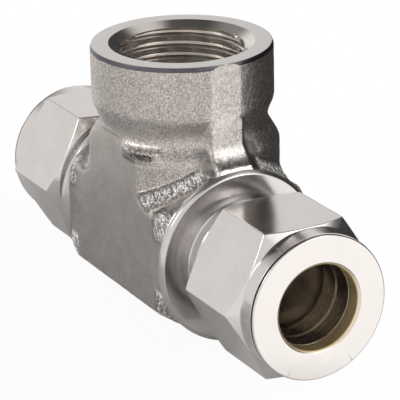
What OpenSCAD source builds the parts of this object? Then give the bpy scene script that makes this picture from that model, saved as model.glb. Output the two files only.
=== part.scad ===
// Branch tee for tube: two compression ends on the run and a female taper pipe thread on the branch.
// The run lies along X, the branch points up along Z, and the origin is where the two axes cross.
// Each run end holds a hex nut, a back ferrule and a front ferrule, shown finger-tight with no tube in.

/* [Tube ends] */
// Outside diameter of the tube that each run end takes
tube_od = 12.7; // [12.2:0.1:13]
// Radial room between the tube and everything that it passes through
tube_gap = 0.1; // [0.05:0.05:0.2]
// Depth that the tube goes in, measured from the face of the nut
tube_depth = 22.9; // [21:0.1:24]
// Diameter of the flow passage along the run
run_bore_d = 10.4; // [8:0.1:11]

/* [Run thread] */
// Major diameter of the thread on each run end
thread_d = 19.05; // [18.9:0.05:20]
// Pitch of the run threads
thread_pitch = 1.27; // [1.2:0.01:1.35]
// Radial height of the run thread
thread_height = 0.78; // [0.7:0.02:0.8]
// Room between the nut's bore and the crests of the body's thread
thread_gap = 0.08; // [0.04:0.01:0.1]
// Distance from the branch axis to the end face of the threaded end
body_reach = 32.3; // [31:0.1:34]

/* [Ferrules] */
// Half angle of the cone that the front ferrule is driven into
seat_angle = 20; // [16:1:24]
// Radius of that cone at the end face of the body
mouth_r = 7.75; // [7.6:0.05:7.9]
// Room between the ferrules, the body and the nut while finger-tight
ferrule_gap = 0.08; // [0.05:0.01:0.12]
// Wall of a ferrule at its thin tip
tip_wall = 0.3; // [0.2:0.05:0.4]
// Length of the front ferrule
front_len = 5.2; // [5:0.1:6]
// Outside diameter of the front ferrule
front_d = 16.8; // [16.4:0.1:17]
// Depth of the recess at the back of the front ferrule
recess_len = 2.1; // [1.6:0.1:2.3]
// Half angle of that recess, and of the nose of the back ferrule in it
recess_angle = 30; // [26:1:34]
// Thickness of the flange of the back ferrule
flange_len = 1.5; // [1.2:0.05:1.8]
// Outside diameter of the back ferrule
back_d = 16.3; // [15.8:0.1:16.8]

/* [Nut] */
// Width of the nut across its flats
nut_af = 22.225; // [22:0.025:24]
// Length of the nut over its collar
nut_len = 17.1; // [15.5:0.1:17.6]
// Thickness of the front wall that the tube passes through
nut_wall = 2.6; // [2.2:0.1:3]
// Diameter of the round collar at the front
collar_d = 21.9; // [20:0.1:21.9]
// Length of the round collar
collar_len = 3.16; // [2:0.02:3.6]
// Angle of the chamfers that trim the hex corners
nut_chamfer = 30; // [25:1:35]
// Width of the small bevels on the collar and in the bore
edge_bevel = 0.35; // [0.1:0.05:0.45]

/* [Body] */
// Width of the body across its two wrench flats
body_w = 24.8; // [24:0.1:25.6]
// Height of the flats' edges above and below the run axis
flat_half = 7.6; // [7:0.1:8.2]
// Height of the parting band above and below the run axis
crown_z = 13.4; // [12.8:0.1:14]
// Width of the parting band that runs round the forging
band_w = 5.3; // [4:0.1:7]
// Distance from the branch axis to the turned shoulder of each run end
shoulder_x = 17; // [16.5:0.1:18]
// Diameter of the turned shoulder
shoulder_d = 26.6; // [25.6:0.1:26.8]
// Width of the turned rim behind the shoulder face
rim_len = 1.2; // [0.8:0.1:1.6]
// Angle of the cone that trims the forging's corners down to the rim
trim_angle = 30; // [25:1:40]
// Bevel on the edge of the shoulder
rim_bevel = 0.45; // [0.2:0.05:0.6]
// Length of the plain neck between the shoulder and the thread
relief_len = 1.9; // [1.4:0.1:2.4]

/* [Branch] */
// Height of the branch face above the run axis
branch_height = 29; // [28:0.1:31]
// Diameter of the boss at the top of the branch
boss_d = 27.6; // [26.8:0.1:28]
// Height of the straight part of the boss
boss_len = 8.4; // [7:0.1:9]
// Bevel round the top of the boss
boss_bevel = 0.55; // [0.3:0.05:0.8]
// Diameter of the neck below the boss
neck_d = 25.5; // [25:0.1:26.2]
// Diameter of the drum where the branch meets the run
drum_d = 29; // [28:0.1:30]
// Height of the drum's upper edge above the run axis
drum_z = 14.4; // [13.8:0.1:14.8]
// Height of the slope that joins the drum to the neck
drum_slope = 1.8; // [1.2:0.1:2.2]
// Distance from the branch axis to the upright part of the parting band
band_x = 13.55; // [13.3:0.05:13.7]
// Radius of the inside corner between the branch and the run
corner_r = 3.6; // [2.5:0.1:4]
// Major diameter of the taper pipe thread at its mouth
pipe_major = 20.8; // [20.4:0.1:21]
// Diameter of the drilled hole that carries the pipe thread
pipe_drill = 18.3; // [17.8:0.1:18.6]
// Pitch of the pipe thread
pipe_pitch = 1.814; // [1.7:0.01:1.9]
// Depth of the drilled hole below the branch face
pipe_depth = 15.4; // [14:0.1:16]
// Diameter of the countersink at the mouth of the branch
pipe_mouth_d = 22; // [21.6:0.1:22.6]
// Diameter of the passage from the branch down to the run
branch_bore_d = 10; // [10:0.1:13]

/* [Hidden] */
$fn = 96;

// Reach of a cut past the surface that it opens
cut = 1;
// Flat pieces of an inside corner of the forging, and how far its ends sink into the forging
corner_steps = 6;
corner_sink = 0.2;
// Half angle of a thread's flank, and width of its crest as a share of the pitch
flank = 30;
crest_share = 0.1;
// Fall of a taper pipe thread's radius for each unit of depth
pipe_taper = 1 / 32;

// Radii that the tube sets
bore_r = tube_od / 2 + tube_gap;
run_r = min(run_bore_d / 2, bore_r - 0.4);

// Radius at the roots of the body's thread, and of the nut's bore that runs over its crests
root_r = thread_d / 2 - thread_height;
nut_r = thread_d / 2 + thread_gap;

// Stations along a run end, each a distance from the branch axis
front_tip = body_reach - (mouth_r - bore_r - tip_wall) / tan(seat_angle) + ferrule_gap / sin(seat_angle);
front_back = front_tip + front_len;
flange_front = front_back + ferrule_gap;
flange_back = flange_front + flange_len;
seat = flange_back + ferrule_gap;
nut_face = seat + nut_wall;
nut_back = nut_face - nut_len;
collar_back = nut_face - collar_len;
tube_stop = nut_face - tube_depth;
socket_mouth = body_reach - (mouth_r - bore_r) / tan(seat_angle);

// Radius of the hex at its corners and of its flats
hex_r = nut_af / 2 / cos(30);
hex_flat_r = nut_af / 2;

// Recess of the front ferrule and nose of the back ferrule that lies in it
recess_r = bore_r + recess_len * tan(recess_angle);
nose_len = recess_len - tip_wall / tan(recess_angle);

// Slope of the forging's upper and lower facets
facet = (crown_z - flat_half) / (body_w / 2 - band_w / 2);
outer_y = body_w / 2 + 2;

// Places a child drawn along +Z on a run end: side 1 is +X and side -1 is -X
module on_run(side) {
    rotate([0, 0, side > 0 ? 0 : 180]) rotate([0, 90, 0]) children();
}

// Outline of a row of V ridges or grooves along a wall, as radius and height pairs: each one starts at
// height z_low + i * pitch on radius foot and reaches radius tip, which falls off by taper from z_high down
function thread_row(z_low, z_high, pitch, foot, tip, taper = 0) =
    let (flat = crest_share * pitch)
    [for (i = [0:floor((z_high - z_low) / pitch) - 1])
        let (z = z_low + i * pitch, r = tip - taper * (z_high - z), rise = abs(r - foot) * tan(flank))
        each [[foot, z], [r, z + rise], [r, z + rise + flat], [foot, z + 2 * rise + flat]]];

// Six-sided facets of the run, wider than the flats that trim them
module run_facets() {
    low_z = flat_half - (outer_y - body_w / 2) * facet;
    half = band_w / 2;
    end = shoulder_x - rim_len;
    waist = shoulder_d / 2 + end * tan(trim_angle);
    intersection() {
        rotate([90, 0, 90]) linear_extrude(2 * end, center = true)
            polygon([[-outer_y, -low_z], [-half, -crown_z], [half, -crown_z], [outer_y, -low_z],
                [outer_y, low_z], [half, crown_z], [-half, crown_z], [-outer_y, low_z]]);
        rotate([0, 90, 0]) rotate_extrude() polygon([[0, -end], [shoulder_d / 2, -end], [waist, 0],
            [shoulder_d / 2, end], [0, end]]);
    }
}

// Drum where the branch grows out of the run
module drum() {
    rotate_extrude() polygon([[0, 0], [drum_d / 2, 0], [drum_d / 2, drum_z],
        [neck_d / 2 - cut, drum_z + drum_slope * (1 + cut / (drum_d / 2 - neck_d / 2))],
        [0, drum_z + drum_slope]]);
}

// Neck and boss of the branch, with the parting band's flat on each side
module branch_boss() {
    top = branch_height;
    low = branch_height - boss_len;
    step = boss_d / 2 - neck_d / 2;
    foot_r = min(neck_d, body_w) / 2 - rim_bevel / 2;
    intersection() {
        rotate_extrude() polygon([[0, drum_z], [foot_r, drum_z], [neck_d / 2, drum_z + drum_slope],
            [neck_d / 2, low - 3 * step],
            [boss_d / 2 - step / 5, low - step / 2], [boss_d / 2, low], [boss_d / 2, top - 1.5 * boss_bevel],
            [boss_d / 2 - boss_bevel, top], [0, top]]);
        translate([-band_x, -boss_d, 0]) cube([2 * band_x, 2 * boss_d, top]);
    }
}

// Parting band: the upright strip on each side of the branch, with its inside corner on the run
module parting_band() {
    end = shoulder_x - rim_len;
    low = crown_z - corner_sink;
    corner = [for (i = [0:corner_steps]) let (a = 180 + 90 * i / corner_steps)
        [band_x + corner_r + corner_r * cos(a), crown_z - corner_sink / 2 + corner_r + corner_r * sin(a)]];
    inside = [for (p = corner) if (p[0] < end) p];
    intersection() {
        rotate([90, 0, 0]) linear_extrude(band_w, center = true) union() {
            for (side = [-1, 1]) scale([side, 1])
                polygon(concat([[0, low - corner_r], [0, branch_height - boss_len], [band_x, branch_height - boss_len]],
                    inside, [[end, low]]));
        }
        cylinder(r = shoulder_x, h = branch_height);
    }
}

// Turned shoulder, neck and thread core of a run end, drawn along +Z
module run_end() {
    end_bevel = thread_height / 2;
    back = shoulder_x - rim_len;
    rotate_extrude() polygon([[0, 0], [root_r, 0], [body_w / 2 - rim_bevel, back - rim_bevel], [shoulder_d / 2, back],
        [shoulder_d / 2, shoulder_x - rim_bevel], [shoulder_d / 2 - rim_bevel, shoulder_x],
        [root_r, shoulder_x], each thread_row(shoulder_x + relief_len, body_reach - thread_height, thread_pitch,
            root_r, thread_d / 2), [root_r, body_reach - end_bevel], [root_r - end_bevel, body_reach],
        [0, body_reach]]);
}

// Tube socket of a run end with the cone that the front ferrule seats in, drawn along +Z
module tube_socket() {
    rotate_extrude() polygon([[0, tube_stop], [bore_r, tube_stop], [bore_r, socket_mouth], [mouth_r, body_reach],
        [mouth_r + cut * tan(seat_angle), body_reach + cut], [0, body_reach + cut]]);
}

// Drilled and countersunk hole of the branch
module branch_hole() {
    floor_z = branch_height - pipe_depth;
    drill_r = pipe_drill / 2;
    way_r = branch_bore_d / 2;
    mouth = pipe_mouth_d / 2;
    sink = mouth - drill_r;
    rotate_extrude() polygon([[0, 0], [way_r, 0], [way_r, floor_z - (drill_r - way_r) / 2], [drill_r, floor_z],
        each thread_row(floor_z + pipe_pitch, branch_height - sink, pipe_pitch, drill_r, pipe_major / 2, pipe_taper),
        [drill_r, branch_height - sink], [mouth, branch_height], [mouth + cut, branch_height + cut],
        [0, branch_height + cut]]);
}

module tee_body() {
    color("silver") difference() {
        union() {
            intersection() {
                union() {
                    run_facets();
                    drum();
                }
                translate([-2 * shoulder_x, -body_w / 2, -2 * crown_z])
                    cube([4 * shoulder_x, body_w, 4 * crown_z]);
            }
            branch_boss();
            parting_band();
            for (side = [-1, 1]) on_run(side) run_end();
        }
        on_run(1) cylinder(r = run_r, h = 2 * body_reach, center = true);
        for (side = [-1, 1]) on_run(side) tube_socket();
        branch_hole();
    }
}

// Hex of the nut, trimmed by a cone at each end, with its round collar
module nut_outside() {
    drop = tan(nut_chamfer);
    front_r = collar_d / 2;
    intersection() {
        translate([0, 0, nut_back]) rotate([0, 0, 30]) cylinder(r = hex_r, h = nut_len, $fn = 6);
        rotate_extrude() polygon([[0, nut_back], [hex_flat_r - edge_bevel, nut_back],
            [hex_r + cut, nut_back + (hex_r + cut - hex_flat_r + edge_bevel) * drop],
            [hex_r + cut, collar_back - (hex_r + cut - front_r) * drop], [front_r, collar_back],
            [front_r, nut_face - edge_bevel], [front_r - edge_bevel, nut_face], [0, nut_face]]);
    }
}

module nut() {
    seat_r = back_d / 2;
    sink = edge_bevel;
    color("gainsboro") difference() {
        nut_outside();
        rotate_extrude() polygon([[0, nut_back - cut], [nut_r + sink + cut, nut_back - cut], [nut_r, nut_back + sink],
            [nut_r, seat - nut_r + seat_r], [seat_r, seat], [bore_r, seat], [bore_r, nut_face - edge_bevel],
            [bore_r + edge_bevel, nut_face], [bore_r + edge_bevel + cut, nut_face + cut], [0, nut_face + cut]]);
    }
}

module nut_right() { on_run(1) nut(); }
module nut_left() { on_run(-1) nut(); }

// Front ferrule: a cone whose thin tip lies in the body's mouth, with a recess at its back
module front_ferrule() {
    tip_r = bore_r + tip_wall;
    slope = (front_d / 2 - tip_r) / tan(seat_angle);
    color("goldenrod") rotate_extrude() polygon([[bore_r, front_tip], [tip_r, front_tip],
        [front_d / 2, front_tip + slope], [front_d / 2, front_back], [recess_r, front_back],
        [bore_r, front_back - recess_len]]);
}

module front_ferrule_right() { on_run(1) front_ferrule(); }
module front_ferrule_left() { on_run(-1) front_ferrule(); }

// Back ferrule: a flanged ring whose nose lies in the recess of the front ferrule
module back_ferrule() {
    tip_r = bore_r + tip_wall;
    nose_tip = front_back + ferrule_gap - nose_len;
    nose_r = tip_r + nose_len * tan(recess_angle) - ferrule_gap;
    bevel = flange_len / 3;
    color("darkkhaki") rotate_extrude() polygon([[bore_r, nose_tip], [tip_r - ferrule_gap, nose_tip],
        [nose_r, flange_front], [back_d / 2, flange_front], [back_d / 2, flange_back - bevel],
        [back_d / 2 - bevel, flange_back], [bore_r, flange_back]]);
}

module back_ferrule_right() { on_run(1) back_ferrule(); }
module back_ferrule_left() { on_run(-1) back_ferrule(); }

tee_body();
nut_right();
nut_left();
front_ferrule_right();
front_ferrule_left();
back_ferrule_right();
back_ferrule_left();
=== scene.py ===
"""Looks of a compression branch tee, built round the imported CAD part. Lengths are in millimetres."""
import math
import bmesh
import bpy
import numpy as np
from mathutils import Matrix, Vector

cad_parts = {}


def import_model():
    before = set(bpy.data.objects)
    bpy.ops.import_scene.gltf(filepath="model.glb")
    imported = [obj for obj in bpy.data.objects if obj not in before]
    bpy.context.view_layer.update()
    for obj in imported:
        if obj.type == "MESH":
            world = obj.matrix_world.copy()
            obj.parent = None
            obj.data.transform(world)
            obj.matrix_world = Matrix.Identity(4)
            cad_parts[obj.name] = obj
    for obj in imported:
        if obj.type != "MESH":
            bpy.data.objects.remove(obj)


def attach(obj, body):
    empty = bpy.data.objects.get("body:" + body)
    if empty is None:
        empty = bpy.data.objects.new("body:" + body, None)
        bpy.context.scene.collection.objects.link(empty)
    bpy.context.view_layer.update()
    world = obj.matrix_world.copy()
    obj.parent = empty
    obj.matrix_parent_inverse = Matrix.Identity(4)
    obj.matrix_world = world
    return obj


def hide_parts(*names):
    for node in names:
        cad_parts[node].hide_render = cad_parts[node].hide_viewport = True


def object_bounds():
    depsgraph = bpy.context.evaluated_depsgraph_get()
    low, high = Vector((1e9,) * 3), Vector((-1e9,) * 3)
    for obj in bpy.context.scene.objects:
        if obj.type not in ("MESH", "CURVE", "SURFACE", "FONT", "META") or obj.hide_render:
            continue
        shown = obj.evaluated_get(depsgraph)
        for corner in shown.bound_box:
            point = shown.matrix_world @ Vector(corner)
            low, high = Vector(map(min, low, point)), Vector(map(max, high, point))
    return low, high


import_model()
CAD_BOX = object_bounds()
MM = 0.001
TURN = 2 * math.pi

# ---------------------------------------------------------------- sizes
# Repeated from the CAD source, so a change there is not followed here. RIM_IN, PIPE_CREST_R
# and PIPE_GROOVE follow the photograph instead, and so does the countersink in branch_cut(): 120
# degrees included, where the solid has 90.
BORE_R = 6.45
RUN_R = 5.2
BODY_REACH = 32.3
MOUTH_R = 7.75
TUBE_STOP = 16.346
SOCKET_MOUTH = 28.728
HALF_W, FLAT_HALF = 12.4, 7.6
CROWN_Z, BAND_HALF = 13.4, 2.65
SHOULDER_X, SHOULDER_R = 17.0, 13.3
RIM_LEN, RIM_BEVEL, RELIEF = 1.2, 0.45, 1.9
BRANCH_TOP, BOSS_R, BOSS_LEN, BOSS_BEVEL = 29.0, 13.8, 8.4, 0.55
NECK_R, DRUM_R, DRUM_Z = 12.75, 14.5, 14.4
BAND_X, CORNER_R = 13.55, 3.6
THREAD_R, THREAD_H, THREAD_PITCH = 9.525, 0.78, 1.27
PIPE_DRILL_R, PIPE_PITCH, PIPE_DEPTH = 9.15, 1.814, 15.4
PIPE_MOUTH_R, BRANCH_BORE_R, RIM_IN = 11.0, 5.0, 0.26
PIPE_CREST_R, PIPE_GROOVE, PIPE_TAPER = 9.52, 0.78, 1 / 32
NUT_AF, NUT_BACK, NUT_FACE, COLLAR_BACK, COLLAR_R = 22.225, 22.146, 39.246, 36.086, 10.95
NUT_R, SEAT_X, SEAT_R, EDGE = 9.605, 36.646, 8.15, 0.35
FRONT_TIP, FRONT_BACK, FRONT_R, RECESS = 29.786, 34.986, 8.4, 2.1
FLANGE_FRONT, FLANGE_BACK, BACK_R = 35.066, 36.566, 8.15
TAN20, TAN30 = math.tan(math.radians(20)), math.tan(math.radians(30))

# finish of the mesh
VOXEL = 0.22
COLUMNS = 144
BRANCH_COLUMNS = 216
BODY_SHARP, TURNED_SHARP = 26, 34

# forms that only this script has: the drum's soft corner with the run, and the groove behind the
# nut's face, by its two edges and its depth. The nut's thread ends at NUT_THREAD_END.
JOIN_R = 1.9
GROOVE_BACK, GROOVE_FRONT, GROOVE_IN = 0.56, 0.28, 0.5
NUT_THREAD_END = 33.4

# surfaces of the body, in the order of its materials
FORGED, MACHINED, PIPE_THREAD, BORES, CHAMFER = range(5)


# ---------------------------------------------------------------- small mesh tools
def new_object(name, verts, faces):
    """A mesh object from points in millimetres."""
    mesh = bpy.data.meshes.new(name)
    mesh.from_pydata((np.asarray(verts) * MM).tolist(), [], faces)
    mesh.validate()
    obj = bpy.data.objects.new(name, mesh)
    bpy.context.scene.collection.objects.link(obj)
    return obj


def clean(obj, distance=0.0002):
    """Merges points that lie together and turns the faces outwards."""
    bm = bmesh.new()
    bm.from_mesh(obj.data)
    bmesh.ops.remove_doubles(bm, verts=bm.verts, dist=distance * MM)
    bmesh.ops.dissolve_degenerate(bm, dist=distance * MM / 4, edges=bm.edges)
    bmesh.ops.delete(bm, geom=[e for e in bm.edges if not e.link_faces], context="EDGES")
    bmesh.ops.recalc_face_normals(bm, faces=bm.faces)
    bm.to_mesh(obj.data)
    bm.free()
    return obj


def soften(outline, radii):
    """The closed outline with each corner that has a radius replaced by four points of an arc."""
    out = []
    count = len(outline)
    for i in range(count):
        p, radius = np.array(outline[i], float), radii[i]
        if not radius:
            out.append(tuple(p))
            continue
        a, b = np.array(outline[i - 1], float) - p, np.array(outline[(i + 1) % count], float) - p
        la, lb = np.linalg.norm(a), np.linalg.norm(b)
        reach_a, reach_b = min(radius, 0.45 * la), min(radius, 0.45 * lb)
        start = p + a / max(la, 1e-9) * reach_a
        end = p + b / max(lb, 1e-9) * reach_b
        for t in (0.0, 0.3, 0.7, 1.0):
            out.append(tuple((1 - t) ** 2 * start + 2 * t * (1 - t) * p + t * t * end))
    return out


def turned(name, loop, angles, along="x"):
    """A closed ring whose section at each angle is loop(angle), a list of (radius, station) pairs."""
    full = [loop(a) for a in angles] + [loop(TURN)]
    angles = list(angles) + [TURN]
    rows = len(full[0])
    verts, faces = [], []
    for a, section in zip(angles, full):
        c, s = math.cos(a), math.sin(a)
        for r, t in section:
            verts.append((t, r * c, r * s) if along == "x" else (r * c, r * s, t))
    for i in range(len(angles) - 1):
        for j in range(rows):
            k = (j + 1) % rows
            faces.append((i * rows + j, i * rows + k, (i + 1) * rows + k, (i + 1) * rows + j))
    return clean(new_object(name, verts, faces))


def even_angles(count=COLUMNS):
    return [TURN * i / count for i in range(count)]


def lathe(name, outline, radii=None, along="x", count=COLUMNS):
    """A turned solid with the same section all round."""
    section = soften(outline, radii) if radii else outline
    return turned(name, lambda a: section, even_angles(count), along)


def boolean(obj, other, kind):
    """Cuts or joins other, which is then removed."""
    mod = obj.modifiers.new("join", "BOOLEAN")
    mod.operation, mod.solver, mod.object = kind, "MANIFOLD", other
    bpy.context.view_layer.update()
    graph = bpy.context.evaluated_depsgraph_get()
    mesh = bpy.data.meshes.new_from_object(obj.evaluated_get(graph))
    obj.modifiers.clear()
    old, obj.data = obj.data, mesh
    bpy.data.meshes.remove(old)
    bpy.data.objects.remove(other)
    return obj


def finish_mesh(obj, sharp=32):
    """Smooth shading with crisp edges, weighted by face area."""
    obj.data.shade_smooth()
    obj.data.set_sharp_from_angle(angle=math.radians(sharp))
    mod = obj.modifiers.new("normals", "WEIGHTED_NORMAL")
    mod.keep_sharp, mod.weight = True, 60
    graph = bpy.context.evaluated_depsgraph_get()
    mesh = bpy.data.meshes.new_from_object(obj.evaluated_get(graph))
    obj.modifiers.clear()
    old, obj.data = obj.data, mesh
    mesh.name = obj.name
    bpy.data.meshes.remove(old)
    return obj


def mirrored(obj, name):
    """The same piece on the other run end, turned half round so that threads keep their hand."""
    twin = bpy.data.objects.new(name, obj.data.copy())
    twin.data.transform(Matrix.Rotation(math.pi, 4, "Z"))
    bpy.context.scene.collection.objects.link(twin)
    return twin


# ---------------------------------------------------------------- screw threads
def screw(angle, start, end, pitch, shares, wall):
    """One section's rows along a right-hand thread from start to end.

    shares are stations in one pitch where the profile bends, and wall(share, station) is the radius
    there.
    """
    rows, lead = [], angle / TURN
    pitches = int(math.ceil((end - start) / pitch)) + 1
    for turn in range(-1, pitches):
        for share in shares:
            t = min(max(start + pitch * (turn + share + lead), start), end)
            s = (t - start) / pitch - lead
            rows.append((wall(s - math.floor(s), t), t))
    return rows


def flank_drop(share, pitch, flat):
    """How far a 60 degree profile has fallen from its crest, which is centred on share 0."""
    off = min(share, 1 - share) * pitch - flat * pitch / 2
    return max(off, 0) / TAN30


RUN_SHARES = (0.0, 0.05, 0.22, 0.404, 0.5, 0.596, 0.78, 0.95)


def male_wall(low, high):
    """Radius of the body's thread, which fades in at low and is bevelled off at high."""
    root = THREAD_R - THREAD_H

    def wall(share, t):
        r = max(THREAD_R - flank_drop(share, THREAD_PITCH, 0.1), root)
        return max(min(r, root + (t - low) * 0.9, root - 0.39 + (high - t) * 1.1), root - 0.39)
    return wall


def female_wall(low, high, gap=0.07):
    """Radius of the nut's thread, a gap away from the body's."""
    minor, major = THREAD_R - THREAD_H + 0.17, THREAD_R + 0.09

    def wall(share, t):
        r = THREAD_R + gap / 0.5 - flank_drop(share, THREAD_PITCH, 0.1)
        open_end = max(major - (t - low) * 0.9, major - (high - t) * 0.9)
        return min(max(r, minor, open_end), major)
    return wall


# ---------------------------------------------------------------- the forging, as a distance field
def smax(a, b, k):
    h = np.maximum(k - np.abs(a - b), 0) / k
    return np.maximum(a, b) + h * h * k / 4


def smin(a, b, k):
    return -smax(-a, -b, k)


def round_union(a, b, radius):
    """Two solids joined with an inside corner of that radius."""
    u, v = np.maximum(radius - a, 0), np.maximum(radius - b, 0)
    return np.maximum(radius, np.minimum(a, b)) - np.sqrt(u * u + v * v)


def lumps(x, y, z, size, seed):
    """Smooth noise from -1 to 1 with hills of about that size, the same at every run."""
    table = np.random.default_rng(seed).uniform(-1, 1, (32, 32, 32)).astype(np.float32)
    grid = [np.asarray(v, np.float32) / size + 16.37 for v in (x, y, z)]
    base = [np.floor(g).astype(np.int32) for g in grid]
    frac = [g - b for g, b in zip(grid, base)]
    soft = [f * f * (3 - 2 * f) for f in frac]
    total = 0
    for dx in (0, 1):
        for dy in (0, 1):
            for dz in (0, 1):
                w = ((soft[0] if dx else 1 - soft[0]) * (soft[1] if dy else 1 - soft[1])
                     * (soft[2] if dz else 1 - soft[2]))
                cell = table[(base[0] + dx) % 32, (base[1] + dy) % 32, (base[2] + dz) % 32]
                total = total + w * cell
    return total


def run_field(x, y, z):
    """Six-sided bar of the run, trimmed by a cone at each end."""
    ax, ay, az = np.abs(x), np.abs(y), np.abs(z)
    rise, span = CROWN_Z - FLAT_HALF, HALF_W - BAND_HALF
    norm = math.hypot(rise, span)
    slope = (rise * (ay - HALF_W) + span * (az - FLAT_HALF)) / norm
    bar = smax(smax(slope, az - CROWN_Z, 0.5), ay - HALF_W, 0.7)
    back = SHOULDER_X - RIM_LEN
    trim = (np.sqrt(y * y + z * z) - SHOULDER_R - (back - ax) * TAN30) * math.cos(math.radians(30))
    return smax(smax(bar, trim, 0.6), ax - back - 0.3, 0.1)


def ease(t):
    t = np.clip(t, 0, 1)
    return t * t * (3 - 2 * t)


def branch_radius(z):
    """Outline of the branch: drum, neck and boss run softly into each other."""
    low = BRANCH_TOP - BOSS_LEN
    boss = ease((z - low + 3.0) / 3.6)
    drum = ease((DRUM_Z + 2.85 - z) / 3.3)
    return NECK_R - 0.02 + (BOSS_R - 0.03 - NECK_R) * boss + (DRUM_R - NECK_R) * drum


def drum_field(x, y, z):
    """Drum, neck and boss of the branch, as one turned shape with two small ledges."""
    lip = 0.45 * np.exp(-((z - DRUM_Z - 1.35) / 0.42) ** 2)
    wave = lip - 0.6 * np.exp(-((z - DRUM_Z - 0.45) / 0.36) ** 2)
    radius = branch_radius(z) + wave * ledge_share(x, y)
    return smax(0.8 * (np.sqrt(x * x + y * y) - radius), -z, 0.2)


def flats_field(y, z):
    """Wrench flats of the body. They end where the neck is narrower than they are apart."""
    return np.abs(y) - HALF_W - 1.3 * np.maximum(z - DRUM_Z - 2.4, 0)


def band_field(x, y, z):
    """Parting band: the upright strip, its inside corner and the strip along the run."""
    upright = np.abs(x) - BAND_X
    flat = z - (CROWN_Z - 0.15)
    profile = round_union(upright, flat, CORNER_R)
    half = BAND_HALF - 3.2 * ease((z - BRANCH_TOP + BOSS_LEN + 0.6) / 1.8)
    band = smax(profile, np.abs(y) - half, 0.3)
    return np.maximum(np.maximum(band, np.abs(x) - (SHOULDER_X - RIM_LEN)), -z)


def ledge_share(x, y):
    """1 beside one end of each flat, where the drum's upper edge stands out as a small ledge."""
    sx, sy = np.where(y < 0, x, -x), np.where(y < 0, y, -y)
    angle = np.degrees(np.arctan2(sy, sx))
    return ease((-41 - angle) / 12) * ease((angle + 76) / 8)


def away_from_band(y):
    """1 between the parting band and the wrench flat."""
    return ease((np.abs(y) - 4.3) / 1.3) * ease((HALF_W - np.abs(y) - 0.1) / 0.3)


def joint_field(x, y, z):
    """How crinkled the skin is: 1 in the inside corners, by the ledge and by the trimmed ends. It
    also sets where the forging's metal gets painted shade in the creases.
    """
    gap = np.abs(run_field(x, y, z) - drum_field(x, y, z))
    joint = ease(2.5 - gap / 0.75) * away_from_band(y)
    ledge = ledge_share(x, y) * ease(1.6 - np.abs(z - DRUM_Z - 0.8) / 0.7)
    ends = np.maximum(end_corners(x, y, z), 0.5 * band_foot(x, y, z))
    return np.maximum(np.maximum(joint, ledge), ends)


def band_foot(x, y, z):
    """The parting strip where it lies on the run, behind each shoulder."""
    inside = ease((2.75 - np.abs(y)) / 0.2) * ease((np.abs(x) - 13.4) / 0.5)
    return inside * ease((14.6 - z) / 0.8) * (z > 0)


def end_corners(x, y, z):
    """The forging's corners beside each shoulder, where the cone has trimmed them."""
    ax, ay, az = np.abs(x), np.abs(y), np.abs(z)
    return ease((ax - 12.5) / 0.8) * ease((az - 3.5) / 1.5) * ease((ay - 10.2) / 1.2)


def painted_light_and_trim_tone(x, y, z):
    """Painted light and shade on the skin: lighter than the rest above 0, darker below 0.

    The places follow the photograph's tones. Painted highlights lie on the ridge of each inside
    corner, on the ledge's upper edge and on the parting strip. Painted shade lies in the creases
    beside each ridge, under the ledge, in a dip beside the band, on the run's upper sides near each
    end and on the band's foot. The strip is also a trimmed finish, and the trimmed end corners are
    lighter bare metal.
    """
    ax, ay = np.abs(x), np.abs(y)
    side = run_field(x, y, z) - drum_field(x, y, z)
    # painted highlight on the ridge of each inside corner, painted shade in the creases beside it
    painted_ridge_highlight = ease(1.9 - np.abs(side) / 0.6)
    creases = 0.35 * ease(1 - np.abs(side - 1.5) / 0.6) + 0.3 * ease(1 - np.abs(side + 1.45) / 0.5)
    joint = (painted_ridge_highlight - creases) * away_from_band(y)
    share = ledge_share(x, y)
    # painted highlight on the ledge's upper edge, painted shadow under the ledge
    edge = share * ease((z - DRUM_Z - 1.1) / 0.3) * ease((DRUM_Z + 2.3 - z) / 0.4)
    under = 0.6 * share * ease((z - DRUM_Z + 0.3) / 0.4) * ease((DRUM_Z + 1.15 - z) / 0.3)
    # the parting strip: a trimmed finish, made lighter also as a painted highlight
    strip = 0.3 * ease((2.62 - ay) / 0.05) * ease((z - CROWN_Z - 0.6) / 0.6) * (ax > 13.3)
    # painted shade in a dip beside the band and on the run's upper sides near each end
    dip = 0.9 * ease((ay - 2.7) / 0.5) * ease((5.6 - ay) / 1.5) * ease((ax - 11.5) / 0.8)
    dip = dip * ease((z - 12.4) / 0.8) * ease((17 - z) / 1.2)
    # the trimmed end corners are lighter bare metal; the band's foot gets painted shade
    ends = end_corners(x, y, z)
    top = 0.6 * ease((-side - 1.2) / 0.6) * ease((ay - 2.7) / 0.3) * ease((ax - 12) / 0.8)
    top = top * ease((z - 5.5) / 1.0) * (1 - ends)
    dark = np.maximum(dip, top)
    return joint + edge - under + strip - dark - 0.6 * band_foot(x, y, z) + 0.9 * ends


def forging_field(x, y, z):
    """Distance to the blasted forging, before anything is machined."""
    run, drum = run_field(x, y, z), drum_field(x, y, z)
    rough = 0.13 * lumps(x, y, z, 0.7, 3) * np.clip(1.2 - np.abs(run - drum) / 1.5, 0, 1)
    shape = round_union(run, drum, JOIN_R) + rough
    shape = smax(shape, flats_field(y, z), 0.25)
    shape = smax(shape, np.abs(x) - BAND_X - 9 * ease((DRUM_Z + 4 - z) / 3), 0.03)
    blend = 0.2 + 0.8 * ease((BRANCH_TOP - BOSS_LEN - z) / 2)
    shape = smin(shape, band_field(x, y, z), blend)
    wander = 0.035 * lumps(x, y, z, 2.6, 7) + 0.02 * lumps(x, y, z, 0.9, 11)
    wander *= 1 - 0.75 * ease(1.6 - np.abs(flats_field(y, z)) / 0.2)
    wander *= 1 - 0.8 * ease((z - 26) / 1.5)
    low = 0.01 - CROWN_Z - z
    return smax(np.maximum(shape + wander, low), np.abs(x) - (SHOULDER_X - 0.7), 0.1)


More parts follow.
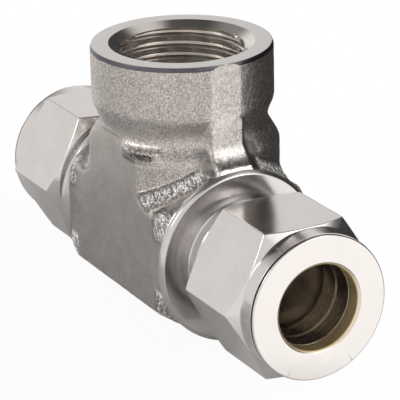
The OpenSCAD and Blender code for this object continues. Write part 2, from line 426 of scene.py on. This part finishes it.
def surface_net(field, low, step):
    """Closed quad mesh on the zero level of a field sampled on a grid."""
    sx, sy, sz = (n - 1 for n in field.shape)

    def corner(i, j, k):
        return field[i:i + sx, j:j + sy, k:k + sz]
    corners = [(i, j, k) for i in (0, 1) for j in (0, 1) for k in (0, 1)]
    count = sum((corner(*c) < 0).astype(np.int8) for c in corners)
    cells = np.argwhere((count > 0) & (count < 8))
    index = np.full((sx, sy, sz), -1, np.int32)
    index[tuple(cells.T)] = np.arange(len(cells))
    place, hits = np.zeros((len(cells), 3)), np.zeros(len(cells))
    for a in corners:
        for axis in range(3):
            if a[axis]:
                continue
            b = tuple(v + (n == axis) for n, v in enumerate(a))
            fa, fb = (corner(*c)[tuple(cells.T)] for c in (a, b))
            cross = (fa < 0) != (fb < 0)
            t = np.where(cross, fa / np.where(fa == fb, 1, fa - fb), 0)
            place += cross[:, None] * (np.array(a) + t[:, None] * np.eye(3)[axis])
            hits += cross
    verts = np.array(low) + step * (cells + place / hits[:, None])
    quads = []
    for axis in range(3):
        u, v = (axis + 1) % 3, (axis + 2) % 3
        n = field.shape[axis]
        first = np.take(field, range(n - 1), axis) < 0
        second = np.take(field, range(1, n), axis) < 0
        for flip in (False, True):
            edges = np.argwhere((first & ~second) if not flip else (~first & second))
            eu, ev = np.eye(3, dtype=int)[u], np.eye(3, dtype=int)[v]
            ring = [edges - eu - ev, edges - ev, edges, edges - eu]
            if flip:
                ring = ring[::-1]
            quads.append(np.stack([index[tuple(r.T)] for r in ring], 1))
    return verts, np.concatenate(quads)


def settle(verts, field, rounds=2, h=0.02):
    """Moves each point onto the exact surface of the field."""
    for _ in range(rounds):
        x, y, z = verts.T
        f = field(x, y, z)
        g = np.stack([field(x + h, y, z) - field(x - h, y, z), field(x, y + h, z) - field(x, y - h, z),
                      field(x, y, z + h) - field(x, y, z - h)], 1) / (2 * h)
        push = f / np.maximum((g * g).sum(1), 0.2)
        verts = verts - np.clip(push, -0.1, 0.1)[:, None] * g
    return verts


def open_edges(verts, faces):
    """Number of edges that don't join exactly two faces."""
    edges = np.sort(np.stack([faces, np.roll(faces, -1, 1)], 2).reshape(-1, 2), 1)
    keys = edges[:, 0].astype(np.int64) * len(verts) + edges[:, 1]
    return int((np.unique(keys, return_counts=True)[1] != 2).sum())


def forging():
    """The forging's mesh. Where a thin spot falls badly on the grid, the grid is moved a little.

    If no shift closes the mesh, the last one is kept as it is.
    """
    for shift in (0.0, 0.07, 0.13, 0.03):
        verts, faces = forging_net(shift)
        if open_edges(verts, faces) == 0:
            break
    top = verts[:, 2] > BRANCH_TOP + 0.2
    verts = np.where(top[:, None], verts, settle(verts, forging_field))
    return new_object("tee_forging", verts, faces.tolist())


def forging_net(shift):
    """Net of the forging's surface, on a grid moved by shift."""
    low = np.array([-17.0, -14.6, -14.4]) - shift
    high = np.array([17.0, 14.6, BRANCH_TOP + 0.8])
    shape = np.ceil((high - low) / VOXEL).astype(int)
    axes = [low[i] + VOXEL * np.arange(shape[i]) for i in range(3)]
    x, y, z = np.meshgrid(*[a.astype(np.float32) for a in axes], indexing="ij", sparse=True)
    field = forging_field(x, y, z)
    field = np.maximum(field, z - (BRANCH_TOP + 0.4)).astype(np.float32)
    return surface_net(field, low, VOXEL)


# ---------------------------------------------------------------- machined parts of the body
def run_end():
    """Shoulder, neck and threaded end, as one ring round the run axis."""
    back = SHOULDER_X - RIM_LEN
    root = THREAD_R - THREAD_H
    start, end = SHOULDER_X + RELIEF, BODY_REACH
    outer = [(4.0, back - 2.5), (HALF_W - 1.2, back - 0.9), (SHOULDER_R, back),
             (SHOULDER_R, SHOULDER_X - RIM_BEVEL), (SHOULDER_R - RIM_BEVEL, SHOULDER_X),
             (root, SHOULDER_X), (root, start - 0.05)]
    radii = [0, 0, 0.12, 0.12, 0.12, 0.45, 0]
    wall = male_wall(start, end)

    def loop(angle):
        rows = screw(angle, start, end, THREAD_PITCH, RUN_SHARES, wall)
        closed = outer + [rows[0], rows[-1], (4.0, end)]
        soft = soften(closed, radii + [0, 0, 0])
        return soft[:-3] + rows + [(4.0, end)]
    return turned("run_end", loop, even_angles())


def run_passage():
    """Bore, tube sockets and ferrule seats, cut right through the run."""
    half = [(RUN_R, 0.0), (RUN_R, TUBE_STOP - 0.25), (RUN_R + 0.25, TUBE_STOP), (BORE_R, TUBE_STOP),
            (BORE_R, SOCKET_MOUTH), (MOUTH_R, BODY_REACH), (MOUTH_R + 0.7, BODY_REACH + 1.5)]
    far = BODY_REACH + 1.5
    outline = [(0.0, -far)] + [(r, -t) for r, t in half[:0:-1]] + half[1:] + [(0.0, far)]
    return lathe("run_passage", outline)


def branch_cut():
    """Bore of the branch, and the threaded hole and countersink machined into its top."""
    floor = BRANCH_TOP - PIPE_DEPTH
    start = floor + 1.2
    sink_low = BRANCH_TOP - (PIPE_MOUTH_R - PIPE_CREST_R) * TAN30
    shares = (0.0, 0.12, 0.235, 0.265, 0.37, 0.46, 0.5, 0.54, 0.63, 0.735, 0.765, 0.88)

    def wall(share, t):
        depth = BRANCH_TOP - t
        crest = PIPE_CREST_R - depth * PIPE_TAPER
        groove = max(0.0, PIPE_GROOVE - abs(share - 0.5) * PIPE_PITCH / TAN30)
        groove *= float(ease((sink_low - t - 0.05) / 0.5))
        r = crest + min(groove, PIPE_GROOVE - 0.08)
        return min(r, PIPE_DRILL_R + (t - start) * 0.6)

    def loop(angle):
        rows = screw(angle, start, sink_low, PIPE_PITCH, shares, wall)
        low = [(0.0, -0.2), (BRANCH_BORE_R, -0.2), (BRANCH_BORE_R, floor - 2.2), (PIPE_DRILL_R, floor),
               (PIPE_DRILL_R, start - 0.01)]
        mouth = [(PIPE_CREST_R, sink_low + 0.02), (PIPE_MOUTH_R + 1.0, BRANCH_TOP + TAN30),
                 (0.0, BRANCH_TOP + 1.0)]
        return low + rows + mouth
    return turned("branch_cut", loop, even_angles(BRANCH_COLUMNS), along="z")


def top_cut():
    """Face and chamfer of the boss."""
    bevel_z = BRANCH_TOP - 1.5 * BOSS_BEVEL
    slope = 1.5 * BOSS_BEVEL / RIM_IN
    outline = [(0.0, BRANCH_TOP), (BOSS_R - RIM_IN, BRANCH_TOP), (BOSS_R + 0.3, bevel_z - 0.3 * slope),
               (BOSS_R + 2, bevel_z - 0.3 * slope), (BOSS_R + 2, BRANCH_TOP + 3), (0.0, BRANCH_TOP + 3)]
    return lathe("top_cut", outline, [0, 0.12, 0, 0, 0, 0], along="z")


def surface_kinds(points):
    """Which of the body's surfaces each point lies on."""
    x, y, z = points.T
    ax = np.abs(x)
    r_run = np.hypot(y, z)
    r_branch = np.hypot(x, y)
    kind = np.full(len(points), FORGED)
    # the boss chamfer, whose metal is painted near-black as a dark reflection
    chamfer = r_branch - (BOSS_R - RIM_IN) + (z - BRANCH_TOP) * RIM_IN / (1.5 * BOSS_BEVEL) > -0.02
    kind[(z > 25) & chamfer & (r_branch > 12)] = CHAMFER
    kind[z > BRANCH_TOP - 0.06] = MACHINED
    back = SHOULDER_X - RIM_LEN
    on_slope = r_run - SHOULDER_R + (back - ax) * 1.9 > -0.15
    ring = (ax > back - 1.0) & on_slope & (r_run < SHOULDER_R + 0.02)
    kind[(ax > back + 0.01) | (ring & (ax > back - 0.6))] = MACHINED
    kind[(r_run < MOUTH_R - 0.05) & (ax > RUN_R)] = BORES
    kind[(r_run < RUN_R + 0.1)] = BORES
    kind[(r_branch < PIPE_MOUTH_R - 0.02) & (z > 7) & (z < BRANCH_TOP - 0.05)] = PIPE_THREAD
    kind[(r_branch < BRANCH_BORE_R + 0.05) & (z > 0) & (z < 15) & (r_run > RUN_R - 0.05)] = PIPE_THREAD
    return kind


def body():
    """Forging with everything machined on it, sorted into five surfaces."""
    obj = forging()
    boolean(obj, top_cut(), "DIFFERENCE")
    end = run_end()
    twin = mirrored(end, "run_end_twin")
    boolean(obj, end, "UNION")
    boolean(obj, twin, "UNION")
    boolean(obj, branch_cut(), "DIFFERENCE")
    boolean(obj, run_passage(), "DIFFERENCE")
    mesh = obj.data
    faces = len(mesh.polygons)
    centres = np.empty(faces * 3)
    mesh.polygons.foreach_get("center", centres)
    kinds = surface_kinds(centres.reshape(-1, 3) / MM)
    for _ in range(5):
        mesh.materials.append(None)
    mesh.polygons.foreach_set("material_index", kinds.astype(np.int32))
    points = np.empty(len(mesh.vertices) * 3)
    mesh.vertices.foreach_get("co", points)
    x, y, z = (points.reshape(-1, 3) / MM).T
    corner = mesh.attributes.new("corner", "FLOAT", "POINT")
    corner.data.foreach_set("value", joint_field(x, y, z).astype(np.float32))
    # painted highlights and painted shade on the skin, with the lighter trimmed metal
    light_shade_and_trim = mesh.attributes.new("light_shade_and_trim", "FLOAT", "POINT")
    light_shade_and_trim.data.foreach_set("value", painted_light_and_trim_tone(x, y, z).astype(np.float32))
    calm = mesh.attributes.new("calm", "FLOAT", "POINT")
    calm.data.foreach_set("value", ease(1.4 - np.abs(flats_field(y, z)) / 0.15).astype(np.float32))
    return finish_mesh(obj, BODY_SHARP)


# ---------------------------------------------------------------- nut and ferrules
def nut_angles():
    """Angles round the nut, closer together at the hex's corners, which lie on the Y axis."""
    out = []
    for side in range(6):
        base = TURN * side / 6
        out += [base + math.radians(d) for d in (0, 0.22, 0.5, 1.0)]
        out += [base + math.radians(d) for d in np.arange(3.0, 57.5, 3.0)]
        out += [base + math.radians(60 - d) for d in (1.0, 0.5, 0.22)]
    return out


def hex_radius(angle):
    """Distance from the axis to the hex's outside, with corners that are slightly rounded."""
    half = NUT_AF / 2
    slants = [math.cos(angle - math.radians(30 + 60 * k)) for k in range(6)]
    walls = sorted(half / c for c in slants if c > 0.2)
    gap = walls[1] - walls[0]
    soft = 0.16
    near = max(soft - gap, 0) / soft
    return walls[0] - near * near * soft / 4


def nut():
    """Hex nut with collar. Surfaces: 0 steel, 1 the tinted bore, 2 the groove by the face, which
    is painted near-black as shade.
    """
    start, end = NUT_BACK + EDGE, NUT_THREAD_END
    wall = female_wall(start, end)
    flat_r = NUT_AF / 2

    def loop(angle):
        r = hex_radius(angle)
        back_edge = NUT_BACK + (r - flat_r + EDGE) * TAN30
        front_edge = COLLAR_BACK - (r - COLLAR_R) * TAN30
        outer = [(NUT_R + EDGE, NUT_BACK), (flat_r - EDGE, NUT_BACK), (r, back_edge), (r, front_edge),
                 (COLLAR_R, COLLAR_BACK), (COLLAR_R, NUT_FACE - 0.6),
                 (COLLAR_R - GROOVE_IN, NUT_FACE - GROOVE_BACK),
                 (COLLAR_R - GROOVE_IN, NUT_FACE - GROOVE_FRONT), (COLLAR_R - 0.08, NUT_FACE - 0.24),
                 (COLLAR_R - 0.08, NUT_FACE - 0.14), (COLLAR_R - 0.2, NUT_FACE),
                 (BORE_R + EDGE, NUT_FACE), (BORE_R, NUT_FACE - EDGE),
                 (BORE_R, SEAT_X), (SEAT_R, SEAT_X),
                 (NUT_R, SEAT_X - NUT_R + SEAT_R), (NUT_R, end + 0.05)]
        radii = [0.08, 0.08, 0.14, 0.14, 0.18, 0.05, 0.05, 0.04, 0.04, 0.05, 0.07, 0.12,
                 0.12, 0.08, 0.1, 0.1, 0]
        rows = screw(angle, start, end, THREAD_PITCH, RUN_SHARES, wall)[::-1]
        soft = soften(outer + [rows[0], rows[-1]], radii + [0, 0])
        return soft[:-2] + rows
    obj = turned("nut_right_turned", loop, nut_angles())
    for face in obj.data.polygons:
        x, y, z = face.center / MM
        radius, depth = math.hypot(y, z), NUT_FACE - x
        # faces in the groove take surface 2, painted near-black as shade
        groove = 0.25 < depth < 0.57 and BORE_R + 3 < radius < COLLAR_R - 0.02
        face.material_index = 2 if groove else int(radius < BORE_R + 0.2)
    return finish_mesh(obj, TURNED_SHARP)


def front_ferrule():
    tip = BORE_R + 0.3
    slope = (FRONT_R - tip) / TAN20
    outline = [(BORE_R, FRONT_TIP), (tip, FRONT_TIP),
               (FRONT_R, FRONT_TIP + slope), (FRONT_R, FRONT_BACK),
               (BORE_R + RECESS * TAN30, FRONT_BACK), (BORE_R, FRONT_BACK - RECESS)]
    radii = [0.05, 0.05, 0.15, 0.12, 0.1, 0.05]
    return finish_mesh(lathe("front_ferrule_right_turned", outline, radii), TURNED_SHARP)


def back_ferrule():
    tip = BORE_R + 0.3
    nose = RECESS - 0.3 / TAN30
    nose_tip = FLANGE_FRONT - nose
    radii = [0.05, 0.05, 0.08, 0.1, 0.1, 0.1, 0.08]
    outline = [(BORE_R, nose_tip), (tip - 0.08, nose_tip),
               (tip + nose * TAN30 - 0.08, FLANGE_FRONT),
               (BACK_R, FLANGE_FRONT), (BACK_R, FLANGE_BACK - 0.5), (BACK_R - 0.5, FLANGE_BACK),
               (BORE_R, FLANGE_BACK)]
    return finish_mesh(lathe("back_ferrule_right_turned", outline, radii), TURNED_SHARP)


# ---------------------------------------------------------------- materials
class Nodes:
    """Short calls for building a material's nodes. Textures are measured in millimetres of the piece."""

    def __init__(self, name):
        self.material = bpy.data.materials.new(name)
        self.material.use_nodes = True
        self.tree = self.material.node_tree
        self.shader = self.tree.nodes["Principled BSDF"]
        coords = self.add("ShaderNodeTexCoord")
        self.place = self.add("ShaderNodeMapping")
        self.place.inputs["Scale"].default_value = (1000, 1000, 1000)
        self.link(coords.outputs["Object"], self.place.inputs["Vector"])

    def add(self, kind, **settings):
        node = self.tree.nodes.new(kind)
        for key, value in settings.items():
            setattr(node, key, value)
        return node

    def link(self, a, b):
        self.tree.links.new(a, b)

    def vector(self, op, *values):
        node = self.add("ShaderNodeVectorMath", operation=op)
        for socket, value in zip(node.inputs, values):
            self.link(value, socket)
        return node.outputs["Vector"]

    def noise(self, scale, detail=4.0, rough=0.55, stretch=(1, 1, 1), source=None):
        node = self.add("ShaderNodeTexNoise")
        node.inputs["Scale"].default_value = scale
        node.inputs["Detail"].default_value = detail
        node.inputs["Roughness"].default_value = rough
        source = source or self.place.outputs["Vector"]
        if stretch != (1, 1, 1):
            mapping = self.add("ShaderNodeMapping")
            mapping.inputs["Scale"].default_value = stretch
            self.link(source, mapping.inputs["Vector"])
            source = mapping.outputs["Vector"]
        self.link(source, node.inputs["Vector"])
        return node.outputs["Fac"]

    def remap(self, value, a, b, c, d):
        node = self.add("ShaderNodeMapRange")
        for key, number in zip(("From Min", "From Max", "To Min", "To Max"), (a, b, c, d)):
            node.inputs[key].default_value = number
        self.link(value, node.inputs["Value"])
        return node.outputs["Result"]

    def blend(self, fac, low, high):
        node = self.add("ShaderNodeMix", data_type="RGBA")
        self.link(fac, node.inputs["Factor"])
        for socket, value in ((node.inputs[6], low), (node.inputs[7], high)):
            if isinstance(value, tuple):
                socket.default_value = (*value, 1)
            else:
                self.link(value, socket)
        return node.outputs[2]

    def math(self, op, a, b):
        node = self.add("ShaderNodeMath", operation=op)
        for socket, value in zip(node.inputs, (a, b)):
            if isinstance(value, (int, float)):
                socket.default_value = value
            else:
                self.link(value, socket)
        return node.outputs["Value"]

    def bump(self, height, depth, before=None):
        """depth is the height's full range in millimetres."""
        node = self.add("ShaderNodeBump")
        node.inputs["Strength"].default_value = 1.0
        node.inputs["Distance"].default_value = depth * MM
        self.link(height, node.inputs["Height"])
        if before is not None:
            self.link(before, node.inputs["Normal"])
        return node.outputs["Normal"]

    def done(self, colour, rough, normal=None):
        self.link(colour, self.shader.inputs["Base Color"])
        self.link(rough, self.shader.inputs["Roughness"])
        if normal is not None:
            self.link(normal, self.shader.inputs["Normal"])
        self.shader.inputs["Metallic"].default_value = 1.0
        return self.material


def crinkle_lines(n):
    """Creases across the inside corners: fine along the corner, long from the drum to the run."""
    along = Vector((0.51, -0.74, 0.44))
    place = n.vector("ABSOLUTE", n.place.outputs["Vector"])
    dot = n.add("ShaderNodeVectorMath", operation="DOT_PRODUCT")
    dot.inputs[1].default_value = along
    n.link(place, dot.inputs[0])
    step = n.add("ShaderNodeVectorMath", operation="SCALE")
    step.inputs[0].default_value = along * 2.0
    n.link(dot.outputs["Value"], step.inputs["Scale"])
    return n.noise(1.05, 2.5, 0.6, source=n.vector("ADD", place, step.outputs["Vector"]))


def forged_steel():
    """Blasted forging: fine grain, calmer on the flats, coarse creases in the inside corners. Its colour
    also holds painted shade in those creases and the skin's painted highlights and shade.
    """
    n = Nodes("forged_steel")
    grain = n.noise(3.7, 2.5, 0.65)
    speck = n.noise(1.7, 2.0, 0.6)
    peel = n.noise(0.7, 2.0, 0.5)
    patches = n.noise(0.3, 3.0, 0.5)
    # the second attribute holds the skin's painted highlights and painted shade, and its trimmed metal
    corner, light_shade_trim_fac, calm = (n.add("ShaderNodeAttribute", attribute_name=name).outputs["Fac"]
                          for name in ("corner", "light_shade_and_trim", "calm"))
    crinkle = crinkle_lines(n)
    lively = n.remap(calm, 0, 1, 1, 0.35)
    colour = n.blend(n.remap(patches, 0.35, 0.65, 0, 1), (0.475, 0.435, 0.408), (0.54, 0.502, 0.475))
    light = n.math("MULTIPLY", n.remap(grain, 0.48, 0.72, 0, 0.8), lively)
    colour = n.blend(light, colour, (0.92, 0.88, 0.85))
    deep = n.math("MULTIPLY", n.remap(grain, 0.5, 0.3, 0, 0.75), lively)
    colour = n.blend(deep, colour, (0.24, 0.215, 0.20))
    # painted shade where the skin's tone is below 0
    scale = n.math("MULTIPLY", light_shade_trim_fac, -1.0)
    colour = n.blend(n.remap(scale, 0, 1, 0, 0.9), colour, (0.20, 0.185, 0.175))
    # painted shade in the creases of the inside corners
    painted_crease_shade = n.math("MULTIPLY", corner, n.remap(crinkle, 0.52, 0.42, 0, 0.8))
    colour = n.blend(painted_crease_shade, colour, (0.20, 0.185, 0.175))
    # painted highlight where the skin's tone is above 0, with the lighter trimmed metal, broken by
    # creases
    light_shade_trim_fac = n.remap(light_shade_trim_fac, 0, 1, 0, 1)
    painted_highlight_and_trim = n.math("MULTIPLY", light_shade_trim_fac, n.remap(crinkle, 0.42, 0.54, 0.15, 1.0))
    colour = n.blend(painted_highlight_and_trim, colour, (0.97, 0.95, 0.93))
    rough = n.remap(speck, 0.3, 0.7, 0.27, 0.40)
    rough = n.math("SUBTRACT", rough, n.math("MULTIPLY", light_shade_trim_fac, 0.12))
    bump = n.bump(peel, 0.06)
    bump = n.bump(n.math("MULTIPLY", grain, lively), 0.06, bump)
    bump = n.bump(n.math("MULTIPLY", crinkle, corner), 1.0, bump)
    return n.done(colour, rough, bump)


def machined_steel(name, light, dark, rough_low, rough_high, axis):
    """Turned steel: soft smudges and fine tool lines round the axis."""
    n = Nodes(name)
    smudge = n.noise(0.22, 4.0, 0.6)
    stretch = (14, 0.35, 0.35) if axis == "x" else (0.35, 0.35, 14)
    lines = n.noise(1.0, 3.0, 0.6, stretch=stretch)
    colour = n.blend(n.remap(smudge, 0.3, 0.7, 0, 1), dark, light)
    marks = n.math("ADD", smudge, n.math("MULTIPLY", lines, 0.5))
    rough = n.remap(marks, 0.5, 1.1, rough_low, rough_high)
    bump = n.bump(lines, 0.004)
    return n.done(colour, rough, bump)


# ---------------------------------------------------------------- studio
def aim(obj, target):
    obj.rotation_euler = (Vector(target) - obj.location).to_track_quat("-Z", "Y").to_euler()


# the fitted view: azimuth, height and roll in degrees, then place, lens and shift
VIEW_ANGLES = (61.432, 21.091, -1.252)
VIEW_PLACE = (305.717, -162.254, 136.545)
VIEW_LENS = 218.14
VIEW_SHIFT = (-0.0247, 0.0052)


def camera():
    """The photograph's view. The VIEW_ values come from fitting a camera to the photograph."""
    azimuth, lift, roll = (math.radians(v) for v in VIEW_ANGLES)
    flat = math.cos(lift)
    back = Vector((math.sin(azimuth) * flat, -math.cos(azimuth) * flat, math.sin(lift)))
    right = Vector((math.cos(azimuth), math.sin(azimuth), 0))
    up = back.cross(right)
    side = math.cos(roll) * right + math.sin(roll) * up
    top = -math.sin(roll) * right + math.cos(roll) * up
    data = bpy.data.cameras.new("camera")
    data.sensor_width, data.lens = 36.0, VIEW_LENS
    data.shift_x, data.shift_y = VIEW_SHIFT
    data.clip_start, data.clip_end = 0.01, 10
    obj = bpy.data.objects.new("camera", data)
    turn = Matrix((side, top, back)).transposed().to_4x4()
    obj.matrix_world = Matrix.Translation(Vector(VIEW_PLACE) * MM) @ turn
    bpy.context.scene.collection.objects.link(obj)
    bpy.context.scene.camera = obj


def lamp(name, place, size, power):
    """Round soft lamp that points at the object."""
    data = bpy.data.lights.new(name, "AREA")
    data.shape, data.size, data.energy = "DISK", size, power
    obj = bpy.data.objects.new(name, data)
    obj.location = place
    bpy.context.scene.collection.objects.link(obj)
    aim(obj, (0, 0, 0))


def card(tree, coords, before, azimuth, lift, full, end, level):
    """Adds one soft-edged card to the studio that metal mirrors, over those before it."""
    add, link = tree.nodes.new, tree.links.new
    flat = math.cos(math.radians(lift))
    turn = math.radians(azimuth)
    dot = add("ShaderNodeVectorMath")
    dot.operation = "DOT_PRODUCT"
    dot.inputs[1].default_value = (flat * math.cos(turn), flat * math.sin(turn),
                                   math.sin(math.radians(lift)))
    link(coords.outputs["Generated"], dot.inputs[0])
    ramp = add("ShaderNodeMapRange")
    ramp.interpolation_type = "SMOOTHSTEP"
    ramp.inputs["From Min"].default_value = math.cos(math.radians(end))
    ramp.inputs["From Max"].default_value = math.cos(math.radians(full))
    link(dot.outputs["Value"], ramp.inputs["Value"])
    mix = add("ShaderNodeMix")
    mix.data_type = "FLOAT"
    link(ramp.outputs["Result"], mix.inputs["Factor"])
    if before is None:
        mix.inputs[2].default_value = STUDIO_LEVEL
    else:
        link(before, mix.inputs[2])
    mix.inputs[3].default_value = level
    return mix.outputs[0]


def world():
    """White to the camera only. Metal mirrors the cards below instead of that white."""
    studio = bpy.data.worlds.new("studio")
    bpy.context.scene.world = studio
    studio.use_nodes = True
    tree = studio.node_tree
    tree.nodes.clear()
    add, link = tree.nodes.new, tree.links.new
    coords, value = add("ShaderNodeTexCoord"), None
    for one in STUDIO:
        value = card(tree, coords, value, *one)
    seen, lit = add("ShaderNodeBackground"), add("ShaderNodeBackground")
    seen.inputs["Strength"].default_value = 1.0
    seen.inputs["Color"].default_value = (1, 1, 1, 1)
    lit.inputs["Color"].default_value = (1.0, 0.985, 0.97, 1)
    link(value, lit.inputs["Strength"])
    path, mixed, out = (add("ShaderNode" + kind) for kind in ("LightPath", "MixShader", "OutputWorld"))
    link(path.outputs["Is Camera Ray"], mixed.inputs["Fac"])
    link(lit.outputs["Background"], mixed.inputs[1])
    link(seen.outputs["Background"], mixed.inputs[2])
    link(mixed.outputs["Shader"], out.inputs["Surface"])


# What metal mirrors, tuned to the photograph: a plain level, then the cards, each with its azimuth,
# its height, the angle out to which it is full, the angle where it ends, and its level.
STUDIO_LEVEL = 0.32
STUDIO = [
    (-175, 12, 40, 62, 0.83),
    (-60, 0, 52, 74, 0.94),
    (-5, 16, 25, 45, 0.83),
    (180, 62, 24, 42, 0.24),
    (0, 90, 24, 38, 0.07),
    (32, 28, 21, 34, 1.35),
    (30, -14, 12, 21, 1.28),
    (98, -5, 46, 56, 0.05),
    (98, 58, 8, 20, 0.70),
]

# the floor's own grey, the share of white that the camera sees over it, and where it fades out
FLOOR_GREY, FLOOR_WHITE = 0.67, 0.95
FLOOR_FADE = (46, 78)


def floor():
    """Pale floor that fades into the white round it. The camera sees it FLOOR_WHITE white, so the
    object's shadow is faint, as in the photograph.
    """
    z = CAD_BOX[0][2]
    count, radius = 96, 0.5
    verts = [(0, 0, 0)] + [(radius * math.cos(TURN * i / count), radius * math.sin(TURN * i / count), 0)
                           for i in range(count)]
    faces = [(0, i + 1, (i + 1) % count + 1) for i in range(count)]
    mesh = bpy.data.meshes.new("floor")
    mesh.from_pydata(verts, [], faces)
    obj = bpy.data.objects.new("floor", mesh)
    obj.location.z = z
    bpy.context.scene.collection.objects.link(obj)
    n = Nodes("floor")
    n.shader.inputs["Base Color"].default_value = (FLOOR_GREY, FLOOR_GREY, FLOOR_GREY, 1)
    n.shader.inputs["Roughness"].default_value = 0.9
    n.place.inputs["Location"].default_value = (10, 42, 0)
    length = n.add("ShaderNodeVectorMath", operation="LENGTH")
    n.link(n.place.outputs["Vector"], length.inputs[0])
    fade = n.remap(length.outputs["Value"], *FLOOR_FADE, 0, 1)
    clear = n.add("ShaderNodeBsdfTransparent")
    white = n.add("ShaderNodeEmission")
    path = n.add("ShaderNodeLightPath")
    pale = n.add("ShaderNodeMixShader")
    n.link(n.math("MULTIPLY", path.outputs["Is Camera Ray"], FLOOR_WHITE), pale.inputs["Fac"])
    n.link(n.shader.outputs["BSDF"], pale.inputs[1])
    n.link(white.outputs["Emission"], pale.inputs[2])
    mix = n.add("ShaderNodeMixShader")
    n.link(fade, mix.inputs["Fac"])
    n.link(pale.outputs["Shader"], mix.inputs[1])
    n.link(clear.outputs["BSDF"], mix.inputs[2])
    n.link(mix.outputs["Shader"], n.tree.nodes["Material Output"].inputs["Surface"])
    mesh.materials.append(n.material)


# ---------------------------------------------------------------- the object
def dress():
    """Builds every piece, gives it its metal and ties it to its body."""
    forged = forged_steel()
    bright = machined_steel("body_machined", (0.70, 0.68, 0.67), (0.62, 0.60, 0.59), 0.16, 0.28, "x")
    thread = machined_steel("body_threads", (0.88, 0.84, 0.80), (0.80, 0.755, 0.71), 0.13, 0.24, "z")
    bores = machined_steel("body_bores", (0.66, 0.61, 0.56), (0.54, 0.495, 0.45), 0.18, 0.30, "x")
    # near-black metal: a painted dark reflection on the boss chamfer, painted shade in the nut's groove
    chamfer = machined_steel("boss_chamfer", (0.15, 0.145, 0.16), (0.10, 0.095, 0.11), 0.20, 0.30, "z")
    nut_metal = machined_steel("nut_steel", (0.79, 0.755, 0.735), (0.73, 0.70, 0.68), 0.12, 0.22, "x")
    gold = machined_steel("ferrule_steel", (0.68, 0.62, 0.53), (0.58, 0.52, 0.44), 0.22, 0.34, "x")
    tint = machined_steel("nut_bore", (1.0, 0.86, 0.58), (0.94, 0.77, 0.48), 0.42, 0.58, "x")
    tee = body()
    for slot, material in enumerate((forged, bright, thread, bores, chamfer)):
        tee.data.materials[slot] = material
    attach(tee, "tee")
    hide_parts("tee_body")
    for build, metals, slot, node, owner in (
            (nut, (nut_metal, tint, chamfer), "nut_steel", "nut", "nut"),
            (front_ferrule, (gold,), "ferrule_steel", "front_ferrule", "ferrules"),
            (back_ferrule, (gold,), "ferrule_steel", "back_ferrule", "ferrules")):
        right = build()
        indices = [face.material_index for face in right.data.polygons]
        right.data.materials.clear()
        for material in metals:
            right.data.materials.append(material)
        right.data.polygons.foreach_set("material_index", indices)
        left = mirrored(right, right.name.replace("right", "left"))
        for piece, side in ((right, "right"), (left, "left")):
            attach(piece, side + "_" + owner)
            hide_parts(node + "_" + side)


camera()
world()
floor()
lamp("key", (0.42, 0.26, 0.36), 0.24, 0.35)
lamp("fill", (-0.07, -0.48, 0.36), 0.22, 0.6)
dress()
bpy.context.scene.view_settings.view_transform = "Standard"
